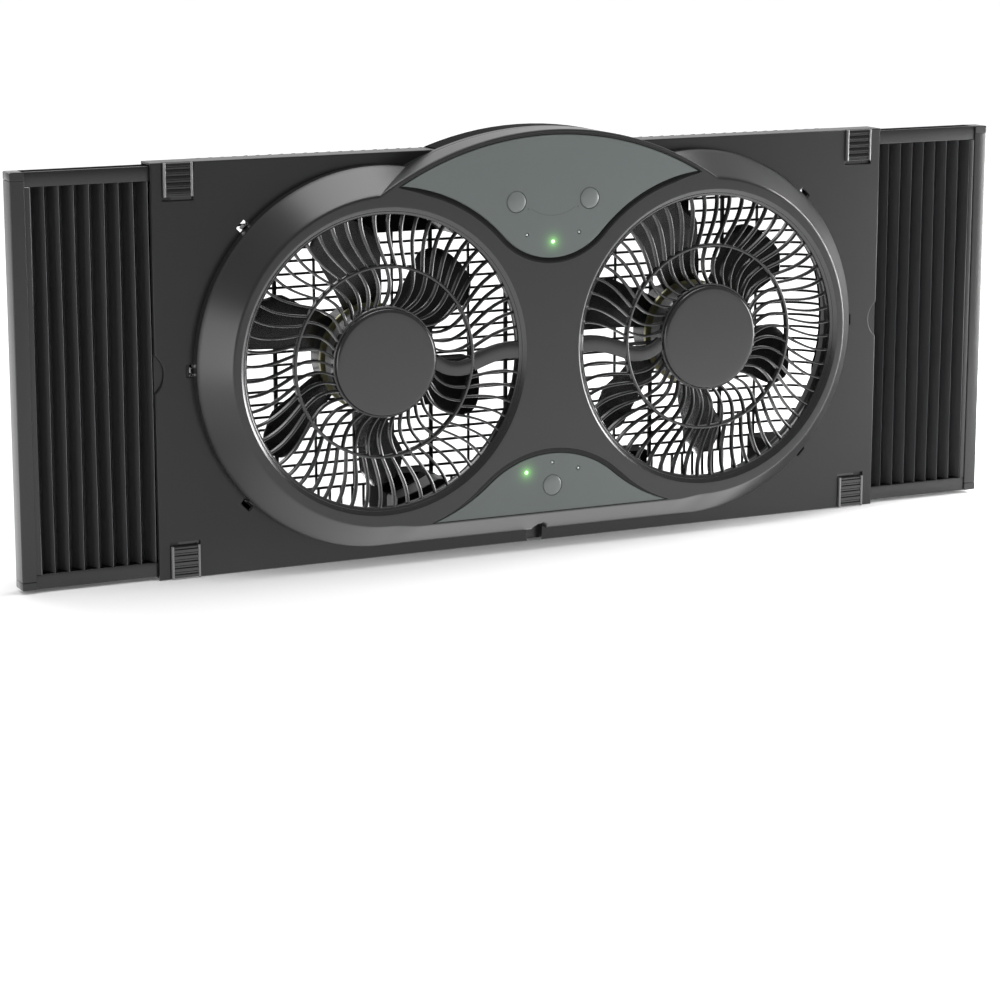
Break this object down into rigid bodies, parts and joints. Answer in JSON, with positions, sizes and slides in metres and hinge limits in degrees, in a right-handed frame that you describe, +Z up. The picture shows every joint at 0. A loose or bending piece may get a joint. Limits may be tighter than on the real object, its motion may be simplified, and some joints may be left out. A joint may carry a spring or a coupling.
{
  "type": "window fan",
  "caption": "Window fan with side-by-side round grilles, an arched control panel and accordion side panels that slide out to fill the window.",
  "frame": {"origin": "middle of the face that stands on the sill, at half the fan's width and half its depth", "axes": "+X to the right seen from the room side, +Y through the window to the outside, +Z up"},
  "size_m": [0.842, 0.0883, 0.3291],
  "materials": {
    "charcoal_plastic": "satin moulded plastic",
    "black_plastic": "satin moulded plastic",
    "panel_plastic": "satin, slightly grey-green",
    "button_plastic": "satin",
    "lamp_green": "lit lens",
    "lamp_clear": "clear lens",
    "steel": "turned",
    "laminations": "stamped stack",
    "copper_winding": "enamelled wire",
    "zinc_bracket": "yellow zinc",
    "bearing_bronze": "sintered bronze",
    "circuit_board": "solder mask",
    "dark_component": "moulded",
    "cable_rubber": "matte sleeve"
  },
  "bodies": {
    "fan": {"main_frame": "charcoal_plastic", "front_cover": "charcoal_plastic", "left_front_grille": "charcoal_plastic", "right_front_grille": "charcoal_plastic", "left_hub_cap": "charcoal_plastic", "right_hub_cap": "charcoal_plastic", "left_motor_stator": "laminations", "right_motor_stator": "laminations", "left_motor_windings": "copper_winding", "right_motor_windings": "copper_winding", "left_motor_bracket": "zinc_bracket", "right_motor_bracket": "zinc_bracket", "motor_bearings": "bearing_bronze", "motor_screws": "steel", "rear_grille": "black_plastic", "rear_housing": "black_plastic", "rear_screws": "steel", "upper_control_panel": "panel_plastic", "lower_control_panel": "panel_plastic", "lit_indicators": "lamp_green", "unlit_indicators": "lamp_clear", "upper_control_board": "circuit_board", "lower_control_board": "circuit_board", "button_switches": "dark_component", "run_capacitors": "dark_component", "wiring": "cable_rubber"},
    "left_rotor": {"left_fan_blade": "black_plastic", "left_blade_nut": "black_plastic", "left_motor_shaft": "steel"},
    "right_rotor": {"right_fan_blade": "black_plastic", "right_blade_nut": "black_plastic", "right_motor_shaft": "steel"},
    "left_expander": {"left_expander_frame": "charcoal_plastic"},
    "left_pleat_1": {"left_pleat_1": "charcoal_plastic"},
    "left_pleat_2": {"left_pleat_2": "charcoal_plastic"},
    "left_pleat_3": {"left_pleat_3": "charcoal_plastic"},
    "left_pleat_4": {"left_pleat_4": "charcoal_plastic"},
    "left_pleat_5": {"left_pleat_5": "charcoal_plastic"},
    "left_pleat_6": {"left_pleat_6": "charcoal_plastic"},
    "left_pleat_7": {"left_pleat_7": "charcoal_plastic"},
    "left_pleat_8": {"left_pleat_8": "charcoal_plastic"},
    "left_pleat_9": {"left_pleat_9": "charcoal_plastic"},
    "right_expander": {"right_expander_frame": "charcoal_plastic"},
    "right_pleat_1": {"right_pleat_1": "charcoal_plastic"},
    "right_pleat_2": {"right_pleat_2": "charcoal_plastic"},
    "right_pleat_3": {"right_pleat_3": "charcoal_plastic"},
    "right_pleat_4": {"right_pleat_4": "charcoal_plastic"},
    "right_pleat_5": {"right_pleat_5": "charcoal_plastic"},
    "right_pleat_6": {"right_pleat_6": "charcoal_plastic"},
    "right_pleat_7": {"right_pleat_7": "charcoal_plastic"},
    "right_pleat_8": {"right_pleat_8": "charcoal_plastic"},
    "right_pleat_9": {"right_pleat_9": "charcoal_plastic"},
    "upper_left_latch": {"upper_left_latch": "charcoal_plastic"},
    "upper_right_latch": {"upper_right_latch": "charcoal_plastic"},
    "lower_left_latch": {"lower_left_latch": "charcoal_plastic"},
    "lower_right_latch": {"lower_right_latch": "charcoal_plastic"},
    "fan_speed_button": {"fan_speed_button": "button_plastic"},
    "power_button": {"power_button": "button_plastic"},
    "airflow_button": {"airflow_button": "button_plastic"}
  },
  "joints": [
    {"name": "left_fan_spin", "type": "hinge", "parent": "fan", "child": "left_rotor", "pos_m": [-0.1405, 0, 0.1582], "axis": [0, 1, 0], "continuous": true},
    {"name": "right_fan_spin", "type": "hinge", "parent": "fan", "child": "right_rotor", "pos_m": [0.1405, 0, 0.1582], "axis": [0, 1, 0], "continuous": true},
    {"name": "left_expander_slide", "type": "slide", "parent": "fan", "child": "left_expander", "axis": [-1, 0, 0], "range_m": [-0.0945, 0.05]},
    {"name": "left_pleat_1_slide", "type": "slide", "parent": "fan", "child": "left_pleat_1", "axis": [-1, 0, 0], "range_m": [-0.08539, 0.04519]},
    {"name": "left_pleat_2_slide", "type": "slide", "parent": "fan", "child": "left_pleat_2", "axis": [-1, 0, 0], "range_m": [-0.07627, 0.04036]},
    {"name": "left_pleat_3_slide", "type": "slide", "parent": "fan", "child": "left_pleat_3", "axis": [-1, 0, 0], "range_m": [-0.06715, 0.03553]},
    {"name": "left_pleat_4_slide", "type": "slide", "parent": "fan", "child": "left_pleat_4", "axis": [-1, 0, 0], "range_m": [-0.05803, 0.03071]},
    {"name": "left_pleat_5_slide", "type": "slide", "parent": "fan", "child": "left_pleat_5", "axis": [-1, 0, 0], "range_m": [-0.04891, 0.02588]},
    {"name": "left_pleat_6_slide", "type": "slide", "parent": "fan", "child": "left_pleat_6", "axis": [-1, 0, 0], "range_m": [-0.03979, 0.02106]},
    {"name": "left_pleat_7_slide", "type": "slide", "parent": "fan", "child": "left_pleat_7", "axis": [-1, 0, 0], "range_m": [-0.03068, 0.01623]},
    {"name": "left_pleat_8_slide", "type": "slide", "parent": "fan", "child": "left_pleat_8", "axis": [-1, 0, 0], "range_m": [-0.02156, 0.01141]},
    {"name": "left_pleat_9_slide", "type": "slide", "parent": "fan", "child": "left_pleat_9", "axis": [-1, 0, 0], "range_m": [-0.01244, 0.00658]},
    {"name": "right_expander_slide", "type": "slide", "parent": "fan", "child": "right_expander", "axis": [1, 0, 0], "range_m": [-0.0945, 0.05]},
    {"name": "right_pleat_1_slide", "type": "slide", "parent": "fan", "child": "right_pleat_1", "axis": [1, 0, 0], "range_m": [-0.08539, 0.04519]},
    {"name": "right_pleat_2_slide", "type": "slide", "parent": "fan", "child": "right_pleat_2", "axis": [1, 0, 0], "range_m": [-0.07627, 0.04036]},
    {"name": "right_pleat_3_slide", "type": "slide", "parent": "fan", "child": "right_pleat_3", "axis": [1, 0, 0], "range_m": [-0.06715, 0.03553]},
    {"name": "right_pleat_4_slide", "type": "slide", "parent": "fan", "child": "right_pleat_4", "axis": [1, 0, 0], "range_m": [-0.05803, 0.03071]},
    {"name": "right_pleat_5_slide", "type": "slide", "parent": "fan", "child": "right_pleat_5", "axis": [1, 0, 0], "range_m": [-0.04891, 0.02588]},
    {"name": "right_pleat_6_slide", "type": "slide", "parent": "fan", "child": "right_pleat_6", "axis": [1, 0, 0], "range_m": [-0.03979, 0.02106]},
    {"name": "right_pleat_7_slide", "type": "slide", "parent": "fan", "child": "right_pleat_7", "axis": [1, 0, 0], "range_m": [-0.03068, 0.01623]},
    {"name": "right_pleat_8_slide", "type": "slide", "parent": "fan", "child": "right_pleat_8", "axis": [1, 0, 0], "range_m": [-0.02156, 0.01141]},
    {"name": "right_pleat_9_slide", "type": "slide", "parent": "fan", "child": "right_pleat_9", "axis": [1, 0, 0], "range_m": [-0.01244, 0.00658]},
    {"name": "upper_left_latch_slide", "type": "slide", "parent": "fan", "child": "upper_left_latch", "axis": [0, 0, -1], "range_m": [0, 0.0025], "stiffness_N_per_m": 800, "springref_m": -0.0005},
    {"name": "upper_right_latch_slide", "type": "slide", "parent": "fan", "child": "upper_right_latch", "axis": [0, 0, -1], "range_m": [0, 0.0025], "stiffness_N_per_m": 800, "springref_m": -0.0005},
    {"name": "lower_left_latch_slide", "type": "slide", "parent": "fan", "child": "lower_left_latch", "axis": [0, 0, 1], "range_m": [0, 0.0025], "stiffness_N_per_m": 800, "springref_m": -0.0005},
    {"name": "lower_right_latch_slide", "type": "slide", "parent": "fan", "child": "lower_right_latch", "axis": [0, 0, 1], "range_m": [0, 0.0025], "stiffness_N_per_m": 800, "springref_m": -0.0005},
    {"name": "fan_speed_button_press", "type": "slide", "parent": "fan", "child": "fan_speed_button", "axis": [0, 1, 0], "range_m": [0, 0.001], "stiffness_N_per_m": 1500, "springref_m": -0.0003},
    {"name": "power_button_press", "type": "slide", "parent": "fan", "child": "power_button", "axis": [0, 1, 0], "range_m": [0, 0.001], "stiffness_N_per_m": 1500, "springref_m": -0.0003},
    {"name": "airflow_button_press", "type": "slide", "parent": "fan", "child": "airflow_button", "axis": [0, 1, 0], "range_m": [0, 0.001], "stiffness_N_per_m": 1500, "springref_m": -0.0003}
  ],
  "couplings": [
    {"joint": "left_pleat_1_slide", "follows": "left_expander_slide", "ratio": 0.9035},
    {"joint": "left_pleat_2_slide", "follows": "left_expander_slide", "ratio": 0.807},
    {"joint": "left_pleat_3_slide", "follows": "left_expander_slide", "ratio": 0.7105},
    {"joint": "left_pleat_4_slide", "follows": "left_expander_slide", "ratio": 0.614},
    {"joint": "left_pleat_5_slide", "follows": "left_expander_slide", "ratio": 0.5175},
    {"joint": "left_pleat_6_slide", "follows": "left_expander_slide", "ratio": 0.421},
    {"joint": "left_pleat_7_slide", "follows": "left_expander_slide", "ratio": 0.3245},
    {"joint": "left_pleat_8_slide", "follows": "left_expander_slide", "ratio": 0.228},
    {"joint": "left_pleat_9_slide", "follows": "left_expander_slide", "ratio": 0.1315},
    {"joint": "right_pleat_1_slide", "follows": "right_expander_slide", "ratio": 0.9035},
    {"joint": "right_pleat_2_slide", "follows": "right_expander_slide", "ratio": 0.807},
    {"joint": "right_pleat_3_slide", "follows": "right_expander_slide", "ratio": 0.7105},
    {"joint": "right_pleat_4_slide", "follows": "right_expander_slide", "ratio": 0.614},
    {"joint": "right_pleat_5_slide", "follows": "right_expander_slide", "ratio": 0.5175},
    {"joint": "right_pleat_6_slide", "follows": "right_expander_slide", "ratio": 0.421},
    {"joint": "right_pleat_7_slide", "follows": "right_expander_slide", "ratio": 0.3245},
    {"joint": "right_pleat_8_slide", "follows": "right_expander_slide", "ratio": 0.228},
    {"joint": "right_pleat_9_slide", "follows": "right_expander_slide", "ratio": 0.1315}
  ]
}
